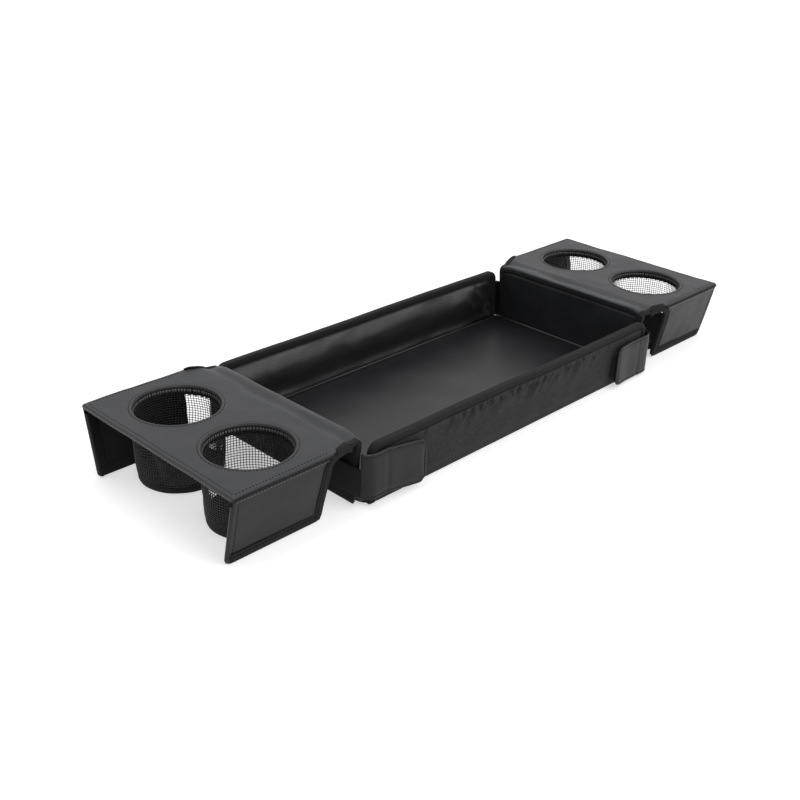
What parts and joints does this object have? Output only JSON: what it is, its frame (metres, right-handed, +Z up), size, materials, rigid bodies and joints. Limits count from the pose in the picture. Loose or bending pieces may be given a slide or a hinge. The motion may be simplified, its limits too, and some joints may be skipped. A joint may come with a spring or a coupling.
{
  "type": "folding cup holder tray",
  "caption": "Soft folding tray with mesh cup holders in a saddle at each end, which hangs over two parallel side rails.",
  "frame": {"origin": "on the table plane, under the middle of the tray floor", "axes": "+Z up, +X along the tray towards the right-hand cup holders, +Y towards the back long wall"},
  "size_m": [0.81, 0.2648, 0.0809],
  "materials": {
    "saddle_leather": "satin grained",
    "tray_leather": "soft sheen",
    "flap_leather": "satin grained",
    "tab_leather": "satin grained",
    "oxford_cloth": "plain weave",
    "dark_lining": "matte",
    "edge_tape": "ribbed weave",
    "strap_webbing": "woven",
    "black_mesh": "open mesh",
    "stiffener_board": "matte",
    "hook_and_loop": "pile"
  },
  "bodies": {
    "tray_base": {"base_cover": "oxford_cloth", "floor_board": "stiffener_board", "floor_liner": "tray_leather", "floor_welt": "edge_tape"},
    "front_wall": {"front_wall_liner": "tray_leather", "front_wall_board": "stiffener_board", "front_wall_cover": "oxford_cloth", "front_wall_binding": "edge_tape", "front_wall_loop_patches": "hook_and_loop"},
    "back_wall": {"back_wall_liner": "tray_leather", "back_wall_board": "stiffener_board", "back_wall_cover": "oxford_cloth", "back_wall_binding": "edge_tape", "back_wall_loop_patches": "hook_and_loop"},
    "left_end": {"left_end_liner": "tray_leather", "left_end_board": "stiffener_board", "left_end_cover": "oxford_cloth", "left_end_bindings": "edge_tape", "left_corner_straps": "strap_webbing"},
    "right_end": {"right_end_liner": "tray_leather", "right_end_board": "stiffener_board", "right_end_cover": "oxford_cloth", "right_end_bindings": "edge_tape", "right_corner_straps": "strap_webbing"},
    "left_saddle": {"left_saddle_cover": "saddle_leather", "left_saddle_board": "stiffener_board", "left_saddle_lining": "dark_lining", "left_notch_bindings": "edge_tape", "left_front_mesh_sleeve": "black_mesh", "left_back_mesh_sleeve": "black_mesh"},
    "right_saddle": {"right_saddle_cover": "saddle_leather", "right_saddle_board": "stiffener_board", "right_saddle_lining": "dark_lining", "right_notch_bindings": "edge_tape", "right_front_mesh_sleeve": "black_mesh", "right_back_mesh_sleeve": "black_mesh"},
    "left_front_cup": {"left_front_cup_base": "dark_lining"},
    "left_back_cup": {"left_back_cup_base": "dark_lining"},
    "right_front_cup": {"right_front_cup_base": "dark_lining"},
    "right_back_cup": {"right_back_cup_base": "dark_lining"},
    "left_front_flap": {"left_front_flap_panel": "flap_leather", "left_front_flap_lining": "dark_lining", "left_front_flap_binding": "edge_tape"},
    "left_back_flap": {"left_back_flap_panel": "flap_leather", "left_back_flap_lining": "dark_lining", "left_back_flap_binding": "edge_tape"},
    "right_front_flap": {"right_front_flap_panel": "flap_leather", "right_front_flap_lining": "dark_lining", "right_front_flap_binding": "edge_tape"},
    "right_back_flap": {"right_back_flap_panel": "flap_leather", "right_back_flap_lining": "dark_lining", "right_back_flap_binding": "edge_tape"},
    "left_front_corner_tab": {"left_front_tab": "tab_leather", "left_front_hook_patch": "hook_and_loop"},
    "left_back_corner_tab": {"left_back_tab": "tab_leather", "left_back_hook_patch": "hook_and_loop"},
    "right_front_corner_tab": {"right_front_tab": "tab_leather", "right_front_hook_patch": "hook_and_loop"},
    "right_back_corner_tab": {"right_back_tab": "tab_leather", "right_back_hook_patch": "hook_and_loop"}
  },
  "joints": [
    {"name": "front_wall_fold", "type": "hinge", "parent": "tray_base", "child": "front_wall", "pos_m": [0, -0.115, 0.00425], "axis": [-1, 0, 0], "range_deg": [0, 88]},
    {"name": "back_wall_fold", "type": "hinge", "parent": "tray_base", "child": "back_wall", "pos_m": [0, 0.115, 0.00425], "axis": [1, 0, 0], "range_deg": [0, 88]},
    {"name": "left_end_fold", "type": "hinge", "parent": "tray_base", "child": "left_end", "pos_m": [-0.2415, 0, 0.0006], "axis": [0, -1, 0], "range_deg": [0, 90]},
    {"name": "right_end_fold", "type": "hinge", "parent": "tray_base", "child": "right_end", "pos_m": [0.2415, 0, 0.0006], "axis": [0, 1, 0], "range_deg": [0, 90]},
    {"name": "left_saddle_fold", "type": "hinge", "parent": "left_end", "child": "left_saddle", "pos_m": [-0.2443, 0, 0.0774], "axis": [0, 1, 0], "range_deg": [-15, 90]},
    {"name": "right_saddle_fold", "type": "hinge", "parent": "right_end", "child": "right_saddle", "pos_m": [0.2443, 0, 0.0774], "axis": [0, -1, 0], "range_deg": [-15, 90]},
    {"name": "left_front_flap_swing", "type": "hinge", "parent": "left_saddle", "child": "left_front_flap", "pos_m": [-0.345, -0.125, 0.0741], "axis": [-1, 0, 0], "range_deg": [0, 102]},
    {"name": "left_back_flap_swing", "type": "hinge", "parent": "left_saddle", "child": "left_back_flap", "pos_m": [-0.345, 0.125, 0.0741], "axis": [1, 0, 0], "range_deg": [0, 102]},
    {"name": "right_front_flap_swing", "type": "hinge", "parent": "right_saddle", "child": "right_front_flap", "pos_m": [0.345, -0.125, 0.0741], "axis": [-1, 0, 0], "range_deg": [0, 102]},
    {"name": "right_back_flap_swing", "type": "hinge", "parent": "right_saddle", "child": "right_back_flap", "pos_m": [0.345, 0.125, 0.0741], "axis": [1, 0, 0], "range_deg": [0, 102]},
    {"name": "left_front_tab_peel", "type": "hinge", "parent": "left_end", "child": "left_front_corner_tab", "pos_m": [-0.219, -0.13243, 0.03], "axis": [0, 0, -1], "range_deg": [0, 110]},
    {"name": "left_back_tab_peel", "type": "hinge", "parent": "left_end", "child": "left_back_corner_tab", "pos_m": [-0.219, 0.13243, 0.03], "axis": [0, 0, 1], "range_deg": [0, 110]},
    {"name": "right_front_tab_peel", "type": "hinge", "parent": "right_end", "child": "right_front_corner_tab", "pos_m": [0.219, -0.13243, 0.03], "axis": [0, 0, 1], "range_deg": [0, 110]},
    {"name": "right_back_tab_peel", "type": "hinge", "parent": "right_end", "child": "right_back_corner_tab", "pos_m": [0.219, 0.13243, 0.03], "axis": [0, 0, -1], "range_deg": [0, 110]},
    {"name": "left_front_cup_collapse", "type": "slide", "parent": "left_saddle", "child": "left_front_cup", "axis": [0, 0, 1], "range_m": [0, 0.05], "deforming": ["left_front_mesh_sleeve"]},
    {"name": "left_back_cup_collapse", "type": "slide", "parent": "left_saddle", "child": "left_back_cup", "axis": [0, 0, 1], "range_m": [0, 0.05], "deforming": ["left_back_mesh_sleeve"]},
    {"name": "right_front_cup_collapse", "type": "slide", "parent": "right_saddle", "child": "right_front_cup", "axis": [0, 0, 1], "range_m": [0, 0.05], "deforming": ["right_front_mesh_sleeve"]},
    {"name": "right_back_cup_collapse", "type": "slide", "parent": "right_saddle", "child": "right_back_cup", "axis": [0, 0, 1], "range_m": [0, 0.05], "deforming": ["right_back_mesh_sleeve"]}
  ]
}
